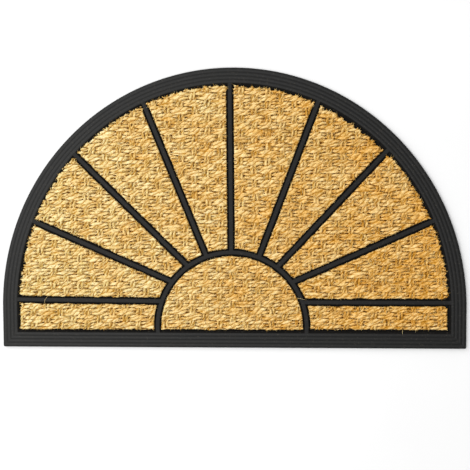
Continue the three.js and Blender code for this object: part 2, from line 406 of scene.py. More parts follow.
def mat_outline(inset, steps=240):
    """The outline drawn in by an inset, anticlockwise from the right-hand front corner."""
    corner = max(CORNER_RADIUS - inset, LEAST_CORNER_RADIUS)
    x, y = HALF_WIDTH - inset - corner, FRONT_Y + inset + corner
    quarter = np.linspace(0, math.pi / 2, 5)
    right = np.column_stack([x + corner * np.sin(quarter), y - corner * np.cos(quarter)])
    left = np.column_stack([-x - corner * np.cos(quarter), y - corner * np.sin(quarter)])
    side = np.linspace(0, 1, 9)[1:-1, None]
    rim = rim_point(inset, np.linspace(0, math.pi, steps + 1))
    front = np.linspace(0, 1, 61)[1:-1, None]
    return np.concatenate([
        right, right[-1] + (rim[0] - right[-1]) * side, rim,
        rim[-1] + (left[0] - rim[-1]) * side, left, left[-1] + (right[0] - left[-1]) * front,
    ])


def border_section():
    """Insets and heights from the foot of the outer wall, over the ridges and the lip, to the backing."""
    section = list(EDGE_SECTION)
    relief = CREST_HEIGHT - VALLEY_HEIGHT
    for i in range(RIDGES * RIDGE_STEPS + 1):
        turn = i / RIDGE_STEPS
        crown = abs(math.sin(math.pi * turn)) ** RIDGE_BLUNTNESS
        section.append((FIRST_RIDGE_INSET + turn * RIDGE_PITCH, VALLEY_HEIGHT + relief * crown))
    end = section[-1][0]
    return section + [(end + inward, height) for inward, height in LIP_SECTION]


def bar_section(steps=18):
    """Half width and height round a bar's rounded crown, from its right foot to its left foot."""
    across = BAR_HALF_WIDTH * np.cos(np.linspace(0, math.pi, steps + 1))
    from_middle = np.minimum(1, np.abs(across / BAR_HALF_WIDTH))
    crown = (1 - from_middle ** BAR_SQUARENESS) ** (1 / BAR_SQUARENESS)
    height = BACKING + (BAR_HEIGHT - BACKING) * crown
    across = np.concatenate([[BAR_HALF_WIDTH], across, [-BAR_HALF_WIDTH]])
    height = np.concatenate([[BAR_FOOT], height, [BAR_FOOT]])
    return across, height


def swept_bar(path):
    """The bar's section carried along a path of points, closed with a flat face at each end."""
    along = np.gradient(path, axis=0)
    along /= np.linalg.norm(along, axis=1, keepdims=True)
    left = np.column_stack([-along[:, 1], along[:, 0]])
    across, height = bar_section()
    count = len(across)
    flat = path[:, None, :] - left[:, None, :] * across[None, :, None]
    points = np.concatenate([flat, np.broadcast_to(height[None, :, None], (len(path), count, 1))], 2)
    here = np.arange(count)
    after = (here + 1) % count
    last = (len(path) - 1) * count
    walls = [
        np.column_stack([low + here, low + count + here, low + count + after, low + after])
        for low in range(0, last, count)
    ]
    start = here[None, :]
    end = (last + here[::-1])[None, :]
    return points.reshape(-1, 3), [np.concatenate(walls), start, end]


def ray_paths():
    """Middle line of each bar, from the arch into the border's last ridge."""
    paths = []
    turns = np.linspace(0, math.pi, 4001)
    rim = rim_point(BAR_END_INSET, turns)
    for ray in RAYS:
        angle = math.radians(ray["angle"])
        direction = np.array([math.cos(angle), math.sin(angle)])
        start = np.array([0, ray["crossing"]])
        offset = start - [0, ARCH_CENTRE_Y]
        along = offset @ direction
        reach = math.sqrt(along ** 2 - offset @ offset + ARCH_RADIUS ** 2) - along
        sideways = (rim - start) @ np.array([-direction[1], direction[0]])
        forwards = (rim - start) @ direction
        nearest = np.argmin(np.where(forwards < 0, np.inf, np.abs(sideways)))
        ends = np.array([start + direction * reach, start + direction * forwards[nearest]])
        paths.append(ends[0] + (ends[1] - ends[0]) * np.linspace(0, 1, 25)[:, None])
    return paths


def arch_path():
    """Middle line of the arch round the sun, from one foot to the other."""
    foot = math.asin((FRONT_Y + BAR_END_INSET - ARCH_CENTRE_Y) / ARCH_RADIUS)
    angles = np.linspace(foot, math.pi - foot, 161)
    return np.column_stack([ARCH_RADIUS * np.cos(angles), ARCH_CENTRE_Y + ARCH_RADIUS * np.sin(angles)])


def make_tray(finish):
    """One closed moulding: the ridged border with its backing, joined with the bars and the arch."""
    tray = mesh_object("moulded_tray", *stacked_loops([(mat_outline(i), z) for i, z in border_section()]))
    bars = [mesh_object("bar", *swept_bar(path)) for path in [*ray_paths(), arch_path()]]
    for bar in bars:
        union = tray.modifiers.new("join", "BOOLEAN")
        union.operation = "UNION"
        union.solver = "EXACT"
        union.object = bar
    shaped = bpy.data.meshes.new_from_object(tray.evaluated_get(bpy.context.evaluated_depsgraph_get()))
    tray.modifiers.clear()
    tray.data = shaped
    for bar in bars:
        bpy.data.objects.remove(bar)
    shaped.polygons.foreach_set("use_smooth", np.ones(len(shaped.polygons), bool))
    shaped.set_sharp_from_angle(angle=SHARP_EDGE)
    shaped.materials.clear()
    shaped.materials.append(finish)
    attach(tray, "root")
    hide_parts("rubber_tray")


# Weave

def pair_width(u, pair):
    """Half width of a weft pair: narrow where it dips under a warp pair, wide in mid float."""
    swell = PAIR_SWELL * np.cos(math.pi * (u / WARP_PITCH + pair))
    return PAIR_HALF_WIDTH - swell + uneven_yarn(PAIR_WIDTH, u, pair)


def weft_at(u, v, yarn):
    """Height, place round the yarn and twist of the weft yarn of that number."""
    pair = np.floor_divide(yarn, 2)
    side = np.where(yarn % 2 == 0, -1, 1)
    width = pair_width(u, pair)
    half = width / 2
    thick = 1 + uneven_yarn(WEFT_THICKNESS, u, yarn)
    wander = uneven_yarn(WEFT_WANDER, u, yarn)
    turn = (u / WARP_PITCH + pair) % 2
    crossing = np.round(u / WARP_PITCH)
    reach = DIP_REACH * (1 + DIP_SPREAD * lattice_value(crossing, yarn, DIP_SEED))
    to_dip = WARP_PITCH * np.minimum(turn, 2 - turn)
    dip = 1 / (1 + (to_dip / reach) ** DIP_STEEPNESS)
    narrow = 1 - dip * (DIP_NARROWING + uneven_yarn(WEFT_NARROWING, u, yarn))
    narrow = np.clip(narrow, LEAST_NARROWING, 1)
    centre = (pair + 0.5) * PAIR_PITCH + side * half
    round_yarn = (v - centre - WANDER_SHARE * wander) / (half * WEFT_OVERLAP * narrow)
    inside = np.abs(round_yarn) < 1
    round_yarn = np.clip(round_yarn, -1, 1)
    height = WEFT_SWING * (1 - 2 * np.exp(-((to_dip / reach) ** WEFT_SWING_STEEPNESS))) + wander
    angle = np.arcsin(round_yarn)
    twist = angle - 2 * math.pi * u / WEFT_LAY + uneven_yarn(WEFT_TWIST, u, yarn) + yarn * WEFT_TURN
    lobes = 1 - np.abs(np.cos(twist))
    depth = WEFT_SECTION / half * thick
    felted = FELTED * (1 - dip)
    top = height + (felted + (1 - felted) * np.cos(angle) ** YARN_FULLNESS) * (depth - PLY_GROOVE * lobes)
    top -= SEAM_DROP * np.abs(round_yarn) ** SEAM_SHARPNESS
    return np.where(inside, top, NO_YARN), angle, twist


def warp_at(u, v, yarn):
    """The same for the warp yarn of that number."""
    pair = np.floor_divide(yarn, 2)
    side = np.where(yarn % 2 == 0, -1, 1)
    wander = uneven_yarn(WARP_WANDER, v, yarn)
    centre = pair * WARP_PITCH + side * WARP_OFFSET + wander
    round_yarn = (u - centre) / WARP_HALF_WIDTH
    inside = np.abs(round_yarn) < 1
    round_yarn = np.clip(round_yarn, -1, 1)
    swing = np.cos(math.pi * (v / PAIR_PITCH - 0.5 + pair))
    height = WARP_SWING * np.sign(swing) * np.abs(swing) ** WARP_BLUNTNESS + WANDER_SHARE * wander
    angle = np.arcsin(round_yarn)
    twist = angle - 2 * math.pi * v / WARP_LAY + uneven_yarn(WARP_TWIST, v, yarn) + yarn * WARP_TURN
    lobes = 1 - np.abs(np.cos(twist))
    thick = 1 + uneven_yarn(WARP_THICKNESS, v, yarn)
    depth = WARP_HALF_DEPTH * thick - WARP_GROOVE * PLY_GROOVE * lobes
    top = height + np.cos(angle) ** YARN_FULLNESS * depth
    top -= SEAM_DROP * np.abs(round_yarn) ** SEAM_SHARPNESS
    return np.where(inside, top, NO_YARN), angle, twist


def edge_between(u, pair):
    """V of the edge between a weft pair and the pair before it."""
    return pair * PAIR_PITCH + (pair_width(u, pair - 1) - pair_width(u, pair)) / 2


def yarns_near(u, v):
    """Numbers of the weft yarn and of the warp yarn whose places hold the point (u, v)."""
    pair = np.floor(v / PAIR_PITCH)
    pair = np.where(v < edge_between(u, pair), pair - 1, pair)
    pair = np.where(v >= edge_between(u, pair + 1), pair + 1, pair)
    weft = 2 * pair + (v >= (pair + 0.5) * PAIR_PITCH)
    warp_pair = np.round(u / WARP_PITCH)
    warp = 2 * warp_pair + (u >= warp_pair * WARP_PITCH)
    return weft.astype(int), warp.astype(int)


def warp_on_top(u, v, weft, warp):
    """Where the warp yarn lies over the weft yarn."""
    return warp_at(u, v, warp)[0] > weft_at(u, v, weft)[0]


def cloth_height(u, v):
    """Height of the woven face above the cloth's middle."""
    weft, warp = yarns_near(u, v)
    top = np.maximum(weft_at(u, v, weft)[0], warp_at(u, v, warp)[0])
    return np.maximum(top + uneven_cloth(LUMPS, u, v), -GAP_DEPTH)


def cloth_rows(u, first_pair, last_pair):
    """V of each row of the grid at each u: the rows follow the edges of the weft yarns."""
    rows = []
    for pair in range(first_pair, last_pair + 1):
        middle = (pair + 0.5) * PAIR_PITCH + 0 * u
        for low, high in ((edge_between(u, pair), middle), (middle, edge_between(u, pair + 1))):
            for i in range(ROWS_PER_WEFT):
                rows.append(low + (high - low) * i / ROWS_PER_WEFT)
    return np.array(rows)


def pulled_grid(outline, number):
    """Places in the weave, u and v, and on the mat, x and y, of a grid that covers a panel."""
    low, high = outline.min(0) - PANEL_MARGIN, outline.max(0) + PANEL_MARGIN
    shift_u, shift_v = PANEL_SHIFT[0] * number % WARP_PITCH, PANEL_SHIFT[1] * number % PAIR_PITCH
    columns = np.arange(low[0], high[0], CELL) + shift_u
    first_pair = math.floor((low[1] + shift_v) / PAIR_PITCH) - 1
    last_pair = math.ceil((high[1] + shift_v) / PAIR_PITCH) + 1
    v = cloth_rows(columns, first_pair, last_pair)
    u = np.broadcast_to(columns, v.shape)
    x, y = u - shift_u, v - shift_v
    for kind in PULL_ALONG_X:
        x = x + uneven_cloth(kind, u, v, number)
    for kind in PULL_ALONG_Y:
        y = y + uneven_cloth(kind, u, v, number)
    return u, v, x, y


# Cut edges

def cut_outline(node):
    """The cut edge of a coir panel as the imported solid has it: its widest loop, in order."""
    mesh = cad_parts[node].data
    points = np.array([v.co for v in mesh.vertices]) / MM
    level = points[:, 2].min() + WIDEST_LEVEL
    on_edge = np.abs(points[:, 2] - level) < LEVEL_TOLERANCE
    keys = [tuple(np.round(p[:2], 2)) for p in points]
    neighbours = {}
    for edge in mesh.edges:
        a, b = edge.vertices
        if on_edge[a] and on_edge[b] and keys[a] != keys[b]:
            neighbours.setdefault(keys[a], set()).add(keys[b])
            neighbours.setdefault(keys[b], set()).add(keys[a])
    first = min(neighbours)
    loop, previous, current = [first], None, first
    while True:
        following = [k for k in neighbours[current] if k != previous]
        previous, current = current, following[0]
        if current == first:
            return np.array(loop)
        loop.append(current)


def distance_inside(x, y, outline):
    """Distance from the outline, positive inside it, and how nearly its edge there runs along the wefts."""
    best = np.full(x.shape, np.inf)
    along_wefts = np.zeros(x.shape)
    winding = np.zeros(x.shape, bool)
    for a, b in zip(outline, np.roll(outline, -1, 0)):
        edge = b - a
        t = np.clip(((x - a[0]) * edge[0] + (y - a[1]) * edge[1]) / (edge @ edge), 0, 1)
        distance = np.hypot(x - a[0] - t * edge[0], y - a[1] - t * edge[1])
        along_wefts = np.where(distance < best, abs(edge[0]) / np.hypot(*edge), along_wefts)
        best = np.minimum(best, distance)
        crosses = (a[1] > y) != (b[1] > y)
        if a[1] != b[1]:
            winding ^= crosses & (x < a[0] + (y - a[1]) * edge[0] / edge[1])
    return np.where(winding, best, -best), along_wefts


def depth_inside(x, y, outline):
    """Distance inside the frayed edge, which frays back from the outline and out over the lip."""
    distance, along_wefts = distance_inside(x, y, outline)
    rough = uneven_cloth(TUFTS, x, y) + uneven_cloth(FRAYED_ENDS, x, y)
    near_rim = np.clip((LIP_END + RIM_ZONE - inset_from_rim(x, y)) / RIM_FADE, 0, 1) * (y > RIM_BASE_Y)
    near_front = np.clip((LIP_END + FRONT_ZONE - (y - FRONT_Y)) / FRONT_FADE, 0, 1)
    notches = np.abs(uneven_cloth(BROAD_NOTCHES, x, y) + uneven_cloth(FINE_NOTCHES, x, y))
    frayed = np.maximum(LEAST_FRAY + FRAY_ALONG_WEFTS * along_wefts ** 2, RIM_FRAY * near_rim)
    up_the_rim = np.clip((y - RIM_BASE_Y) / LIP_COVER_RISE, 0, 1)
    cover = LIP_COVER - LIP_COVER_GAIN + LIP_COVER_GAIN * up_the_rim
    covered = distance + cover * near_rim + FRONT_COVER * near_front
    return covered - frayed * (EVEN_FRAY + rough) - RIM_NOTCH * near_rim * notches


def keep_whole(kept):
    """Fills cells that would leave two kept cells touching at a corner only."""
    while True:
        a, b, c, d = kept[:-1, :-1], kept[1:, :-1], kept[:-1, 1:], kept[1:, 1:]
        one = a & d & ~b & ~c
        two = b & c & ~a & ~d
        if not (one.any() or two.any()):
            return kept
        kept[1:, :-1] |= one
        kept[:-1, :-1] |= two


def joined_cells(region, start):
    """The cells of a region that can be walked to, side by side, from the starting cells."""
    found = start & region
    while True:
        grown = found.copy()
        grown[1:] |= found[:-1]
        grown[:-1] |= found[1:]
        grown[:, 1:] |= found[:, :-1]
        grown[:, :-1] |= found[:, 1:]
        grown &= region
        if (grown == found).all():
            return found
        found = grown


def one_piece(kept):
    """One region of cells, with no stray cells beside it and no holes in it."""
    start = np.zeros(kept.shape, bool)
    start[tuple(np.argwhere(kept).mean(0).astype(int))] = True
    border = np.ones(kept.shape, bool)
    border[1:-1, 1:-1] = False
    kept = keep_whole(joined_cells(kept, start))
    return ~joined_cells(~kept, border)


def boundary_loop(quads):
    """The longest closed chain of points along the edges that only one cell uses."""
    edges = np.concatenate([quads[:, [i, (i + 1) % 4]] for i in range(4)])
    lone = {}
    for a, b in edges.tolist():
        if (b, a) in lone:
            del lone[(b, a)]
        else:
            lone[(a, b)] = True
    following = {a: b for a, b in lone}
    loops = []
    while following:
        start = next(iter(following))
        loop, current = [], start
        while current in following:
            loop.append(current)
            current = following.pop(current)
        loops.append(np.array(loop))
    return max(loops, key=len)


def settle_edge(x, y, loop, outline):
    """Moves the points of a cut edge in place onto the frayed edge, down its slope."""
    step = 0.05
    for _ in range(EDGE_MOVES):
        edge_x, edge_y = x[loop], y[loop]
        here = depth_inside(edge_x, edge_y, outline)
        slope_x = (depth_inside(edge_x + step, edge_y, outline) - here) / step
        slope_y = (depth_inside(edge_x, edge_y + step, outline) - here) / step
        size = np.maximum(slope_x ** 2 + slope_y ** 2, FLATTEST_SLOPE)
        x[loop] -= np.clip(here * slope_x / size, -LONGEST_MOVE, LONGEST_MOVE)
        y[loop] -= np.clip(here * slope_y / size, -LONGEST_MOVE, LONGEST_MOVE)


# Coir cloth

def blurred(values, reach):
    """Mean over a square of cells that reaches so far each way, taken twice for a soft edge."""
    span = 2 * reach + 1
    for axis in (0, 1, 0, 1):
        padded = np.pad(values, [(reach + 1, reach) if axis == a else (0, 0) for a in (0, 1)], mode="edge")
        total = np.moveaxis(np.cumsum(padded, axis), axis, 0)
        values = np.moveaxis((total[span:] - total[:-span]) / span, 0, axis)
    return values


def weave_panel(node, number, finish):
    """One cut panel of coir cloth as a closed slab with its woven face in relief."""
    outline = cut_outline(node)
    u, v, x, y = pulled_grid(outline, number)
    relief = cloth_height(u, v)
    # How far each point lies below its neighbours: the finish paints shade by it in the holes, and fibres
    # bridge the seams it finds.
    sunk = blurred(relief, 2) - relief
    inside = depth_inside(x, y, outline)
    mid = (inside[:-1, :-1] + inside[1:, :-1] + inside[:-1, 1:] + inside[1:, 1:]) / 4
    kept = one_piece(mid > 0)
    index = np.arange(u.size).reshape(u.shape)
    quads = np.stack([index[:-1, :-1], index[:-1, 1:], index[1:, 1:], index[1:, :-1]], -1)[kept]
    used, renumbered = np.unique(quads, return_inverse=True)
    quads = renumbered.reshape(quads.shape)
    u, v, x, y, relief, sunk, inside = (a.ravel()[used].copy() for a in (u, v, x, y, relief, sunk, inside))
    loop = boundary_loop(quads)
    settle_edge(x, y, loop, outline)
    inside[loop] = 0

    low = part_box(node)[0].z / MM
    edge_round = 1 - np.sqrt(1 - np.clip(1 - inside / EDGE_ROUND, 0, 1) ** 2)
    edge_drop = EDGE_ROUND_DROP * edge_round + EDGE_SAG_DROP * np.exp(-inside / EDGE_SAG)
    z = np.maximum(CLOTH_MIDDLE + relief + uneven_cloth(SWELL, x, y) - edge_drop, low + LEAST_EDGE)
    face = np.column_stack([x, y, z])
    foot = np.column_stack([x[loop], y[loop], np.full(len(loop), low)])
    base = np.arange(len(loop)) + len(x)
    after = np.roll(np.arange(len(loop)), -1)
    walls = np.column_stack([loop[after], loop, base, base[after]])
    piece = mesh_object(f"{node}_cloth", np.concatenate([face, foot]), [quads, walls, base[::-1][None, :]])
    add_yarn_marks(piece, quads, u, v, sunk, len(loop))
    add_marks(piece, "browner", "POINT", np.full(len(face) + len(foot), BROWNER.get(node, 0.0)))
    map_cloth(piece, quads, x, y, len(loop))
    piece.data.materials.append(finish)
    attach(piece, "root")
    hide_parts(node)
    return outline, (u, v, x, y, z, sunk, inside)


def add_yarn_marks(piece, quads, u, v, sunk, edge_count):
    """Marks where each point of the cloth lies on its yarn, for the fibre pattern, and how deep, for the
    painted shade in its holes.

    "yarn" holds the distance along it, the twist of its plies and its tint. "cover" holds the
    place across it, 1 for a warp yarn, and a number that tells the yarns apart. "depth" is full
    at the cut edge's foot, so the wall is painted in shade towards its foot.
    """
    weft, warp = yarns_near(u[quads].mean(1), v[quads].mean(1))
    on_warp = warp_on_top(u[quads].mean(1), v[quads].mean(1), weft, warp)[:, None]
    weft, warp = weft[:, None], warp[:, None]
    corner_u, corner_v = u[quads], v[quads]
    _, weft_angle, weft_twist = weft_at(corner_u, corner_v, weft)
    _, warp_angle, warp_twist = warp_at(corner_u, corner_v, warp)
    along = np.where(on_warp, corner_v, corner_u)
    yarn = np.where(on_warp, FIRST_WARP_NUMBER + warp, weft)
    tint = 0.5 + uneven_yarn(YARN_TINT, along, yarn)
    lot = yarn * GOLDEN_STEP % 1 + 0 * along
    yarn_marks = np.stack([along, np.where(on_warp, warp_twist, weft_twist), tint], -1)
    across = np.sin(np.where(on_warp, warp_angle, weft_angle))
    cover_marks = np.stack([across, on_warp + 0 * along, lot], -1)
    wall_and_base = np.tile([0, 0, 0.5], (5 * edge_count, 1))
    depth = np.clip(sunk / DEEP_HOLE, 0, 1)
    add_marks(piece, "yarn", "CORNER", np.concatenate([yarn_marks.reshape(-1, 3), wall_and_base]))
    add_marks(piece, "cover", "CORNER", np.concatenate([cover_marks.reshape(-1, 3), wall_and_base]))
    add_marks(piece, "depth", "POINT", np.concatenate([depth, np.ones(edge_count)]))


def map_cloth(piece, quads, x, y, edge_count):
    """The cloth's flat map: its face seen from above, its cut edge as a strip, its base as a dot."""
    strip_low, strip_high, face_low = 0.002, 0.03, 0.05
    dot_x, dot_y, dot_radius = 0.98, 0.04, 0.008
    size = max(x.max() - x.min(), y.max() - y.min())
    across = (x[quads] - x.min()) / size
    up = face_low + (1 - face_low) * (y[quads] - y.min()) / size
    face = np.stack([across, up], -1).reshape(-1, 2)
    along = np.arange(edge_count) / edge_count
    ahead = along + 1 / edge_count
    low, high = np.full(edge_count, strip_low), np.full(edge_count, strip_high)
    wall = np.stack([ahead, high, along, high, along, low, ahead, low], 1).reshape(-1, 2)
    turns = np.linspace(0, 2 * math.pi, edge_count, endpoint=False)
    base = np.column_stack([dot_x + dot_radius * np.cos(turns), dot_y + dot_radius * np.sin(turns)])
    add_bake_map(piece, np.concatenate([face, wall, base]))


# Loose coir fibres

def fibre_mesh(name, paths, thickness, tints):
    """Tapered three-sided fibres. paths holds each fibre's points, (fibres, rings, 3)."""
    fibres, rings, _ = paths.shape
    along = np.gradient(paths, axis=1)
    along /= np.linalg.norm(along, axis=2, keepdims=True)
    side = np.cross(along, [0, 0, 1.0])
    side /= np.maximum(np.linalg.norm(side, axis=2, keepdims=True), 1e-6)
    up = np.cross(along, side)
    radius = thickness[:, None, None] / 2 * FIBRE_TAPER[None, :, None]
    points = []
    for corner in range(FIBRE_SIDES):
        angle = 2 * math.pi * corner / FIBRE_SIDES - math.pi / 2
        points.append(paths + radius * (math.cos(angle) * side + math.sin(angle) * up))
    points = np.stack(points, 2)
    index = np.arange(fibres * rings * FIBRE_SIDES).reshape(fibres, rings, FIBRE_SIDES)
    quads = []
    for ring in range(rings - 1):
        for corner in range(FIBRE_SIDES):
            beside = (corner + 1) % FIBRE_SIDES
            quads.append(np.stack([
                index[:, ring, corner], index[:, ring, beside],
                index[:, ring + 1, beside], index[:, ring + 1, corner],
            ], 1))
    quads = np.stack(quads, 1).reshape(-1, 4)
    ends = np.concatenate([index[:, 0, ::-1], index[:, -1, :]])
    piece = mesh_object(name, points.reshape(-1, 3), [quads, ends])
    add_marks(piece, "tint", "POINT", np.repeat(tints, rings * FIBRE_SIDES))
    map_fibres(piece, fibres, rings)
    return piece


def map_fibres(piece, fibres, rings):
    """The fibres' flat map: a small square for each fibre, with its sides and ends unrolled in it."""
    squares = int(math.ceil(math.sqrt(fibres)))
    place = np.stack([np.arange(fibres) % squares, np.arange(fibres) // squares], 1) / squares
    place = place[:, None, :]
    maps = []
    for ring in range(rings - 1):
        for corner in range(FIBRE_SIDES):
            box = np.array([
                [corner, ring], [corner + 1, ring], [corner + 1, ring + 1], [corner, ring + 1],
            ])
            maps.append(place + (box / [FIBRE_SIDES + 0.4, rings - 0.6] * 0.92 + 0.04)[None] / squares)
    sides = np.stack(maps, 1).reshape(-1, 2)
    end = np.array([[0.9, 0.9], [0.96, 0.9], [0.93, 0.96]])
    ends = (place + end[None] / squares).reshape(-1, 2)
    add_bake_map(piece, np.concatenate([sides, ends, ends]))


def bent_paths(root, heading, length, bend, rise):
    """Four points along each fibre, which bends sideways and bows up between its ends."""
    turned = heading[:, None] + bend[:, None] * (FIBRE_STEPS[None] - BEND_MIDDLE)
    reach = length[:, None] / 3
    at_root = np.zeros(len(root))
    dx = np.cumsum(np.column_stack([at_root, (np.cos(turned) * reach)[:, 1:]]), 1)
    dy = np.cumsum(np.column_stack([at_root, (np.sin(turned) * reach)[:, 1:]]), 1)
    lift = length[:, None] * rise[:, None] * FIBRE_BOW[None]
    sunk_root = root[:, 2:] - ROOT_DEPTH + FREE_HEIGHT * (FIBRE_STEPS > 0)
    height = np.maximum(sunk_root + lift, BACKING + LEAST_FIBRE_HEIGHT)
    return np.stack([root[:, :1] + dx, root[:, 1:2] + dy, height], 2)


def fringe_paths(outline, grid, draw):
    """Fibre ends that stick out over a panel's cut edge, longest along the rim."""
    _, _, x, y, z, _, inside = grid
    rooted = np.flatnonzero((inside > FRINGE_ROOT[0]) & (inside < FRINGE_ROOT[1]) & (z > FRINGE_ROOT_HEIGHT))
    rooted = rooted[draw.random(len(rooted)) < FRINGE_SHARE]
    count = len(rooted)
    x, y, z = x[rooted], y[rooted], z[rooted]
    step = 0.2
    here = distance_inside(x, y, outline)[0]
    slope_x = distance_inside(x + step, y, outline)[0] - here
    slope_y = distance_inside(x, y + step, outline)[0] - here
    heading = np.arctan2(-slope_y, -slope_x) + draw.normal(0, FRINGE_SPREAD, count)
    at_rim = (inset_from_rim(x, y) < LIP_END + FRINGE_RIM_ZONE) & (y > RIM_BASE_Y)
    length = np.where(at_rim, draw.uniform(*RIM_FRINGE_LENGTH, count), draw.uniform(*FRINGE_LENGTH, count))
    bend = draw.normal(0, FRINGE_BEND_SPREAD, count)
    rise = draw.uniform(*FRINGE_RISE, count)
    return bent_paths(np.column_stack([x, y, z]), heading, length, bend, rise)


def scatter_fibres(node, number, outline, grid, finish):
    """Loose fibres of a panel: laid along its yarns, bridging its seams and round its cut edge."""
    u, v, x, y, z, sunk, inside = grid
    draw = np.random.default_rng(FIRST_FIBRE_SEED + number)
    count = int(len(x) * FIBRES_PER_POINT)
    pick = draw.integers(0, len(x), count)
    bridging = draw.random(count) < BRIDGING_SHARE
    seams = np.flatnonzero((sunk > BRIDGED_SEAM) & (inside > BRIDGE_INSET))
    pick = np.where(bridging, seams[draw.integers(0, len(seams), count)], pick)
    root = np.column_stack([x[pick], y[pick], z[pick] + np.where(bridging, sunk[pick] + BRIDGE_LIFT, 0)])
    on_warp = warp_on_top(u[pick], v[pick], *yarns_near(u[pick], v[pick]))
    heading = np.where(on_warp, WARP_HEADING, WEFT_HEADING) + draw.normal(0, LAID_SPREAD, count)
    wild = draw.random(count) < WILD_SHARE
    heading = np.where(wild, draw.uniform(0, 2 * math.pi, count), heading)
    heading = np.where(bridging, draw.normal(BRIDGE_HEADING, BRIDGE_SPREAD, count), heading)
    heading += math.pi * (draw.random(count) < 0.5)
    length = np.where(bridging, draw.uniform(*BRIDGE_LENGTH, count), draw.uniform(*LAID_LENGTH, count))
    root[:, 0] -= np.where(bridging, 0.5 * length * np.cos(heading), 0)
    root[:, 1] -= np.where(bridging, 0.5 * length * np.sin(heading), 0)
    bend = draw.normal(0, BEND_SPREAD, count)
    rise = np.where(wild, draw.uniform(*WILD_RISE, count), draw.uniform(*LAID_RISE, count))
    rise = np.where(bridging, BRIDGE_RISE, rise)
    paths = bent_paths(root, heading, length, bend, rise)
    thickness = np.where(bridging, draw.uniform(*FIBRE_BUNDLE, count), draw.uniform(*FINE_FIBRE, count))
    tints = draw.random(count)

    # Few of the fibres laid so far end beyond the cut edge, and none far from it. The fringe's do.
    past_edge = -distance_inside(paths[:, -1, 0], paths[:, -1, 1], outline)[0]
    kept = (past_edge < NEAR_REACH) | ((past_edge < FAR_REACH) & (draw.random(count) < FAR_SHARE))
    fringe = fringe_paths(outline, grid, draw)
    paths = np.concatenate([paths[kept], fringe])
    thickness = np.concatenate([thickness[kept], draw.uniform(*FINE_FIBRE, len(fringe))])
    tints = np.concatenate([tints[kept], draw.uniform(*FRINGE_TINT, len(fringe))])
    piece = fibre_mesh(f"{node}_fibres", paths, thickness, tints)
    piece.data.materials.append(finish)
    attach(piece, "root")


def lay_stray_fibres(finish):
    """A few single fibres that have come loose and lie across the rubber."""
    flat = np.array(STRAY_FIBRES)
    count = len(flat)
    height = np.tile(np.array(STRAY_HEIGHTS)[None, :, None], (count, 1, 1))
    paths = np.concatenate([flat, height], 2)
    piece = fibre_mesh("stray_fibres", paths, np.full(count, STRAY_THICKNESS), np.ones(count))
    piece.data.materials.append(finish)
    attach(piece, "root")


# Finishes

def linear(colour):
    """A six-figure sRGB hex colour as linear red, green, blue and full alpha."""
    parts = [int(colour[i:i + 2], 16) / 255 for i in (1, 3, 5)]
    return (*(c / 12.92 if c <= 0.04045 else ((c + 0.055) / 1.055) ** 2.4 for c in parts), 1.0)


def repeats(size):
    """The scale of a pattern whose features are about that many millimetres wide."""
    return 1 / (size * MM)


def add_node(tree, kind, inputs=None, **settings):
    """Adds a node, sets its settings, and sets or links its inputs by name or number."""
    node = tree.nodes.new(kind)
    for name, value in settings.items():
        setattr(node, name, value)
    for name, value in (inputs or {}).items():
        if isinstance(value, bpy.types.NodeSocket):
            tree.links.new(value, node.inputs[name])
        else:
            node.inputs[name].default_value = value
    return node


def set_ramp(node, stops):
    """Sets the colours of a ramp from (place, colour) pairs."""
    ramp = node.color_ramp
    while len(ramp.elements) < len(stops):
        ramp.elements.new(0.5)
    for element, (place, colour) in zip(ramp.elements, stops):
        element.position = place
        element.color = linear(colour)
    return node


def new_finish(name, roughness, ior, gloss):
    """A material with its node tree and its surface node. Gloss is the specular level."""
    material = bpy.data.materials.new(name)
    material.use_nodes = True
    tree = material.node_tree
    surface = tree.nodes["Principled BSDF"]
    surface.inputs["Roughness"].default_value = roughness
    surface.inputs["IOR"].default_value = ior
    surface.inputs["Specular IOR Level"].default_value = gloss
    return material, tree, surface


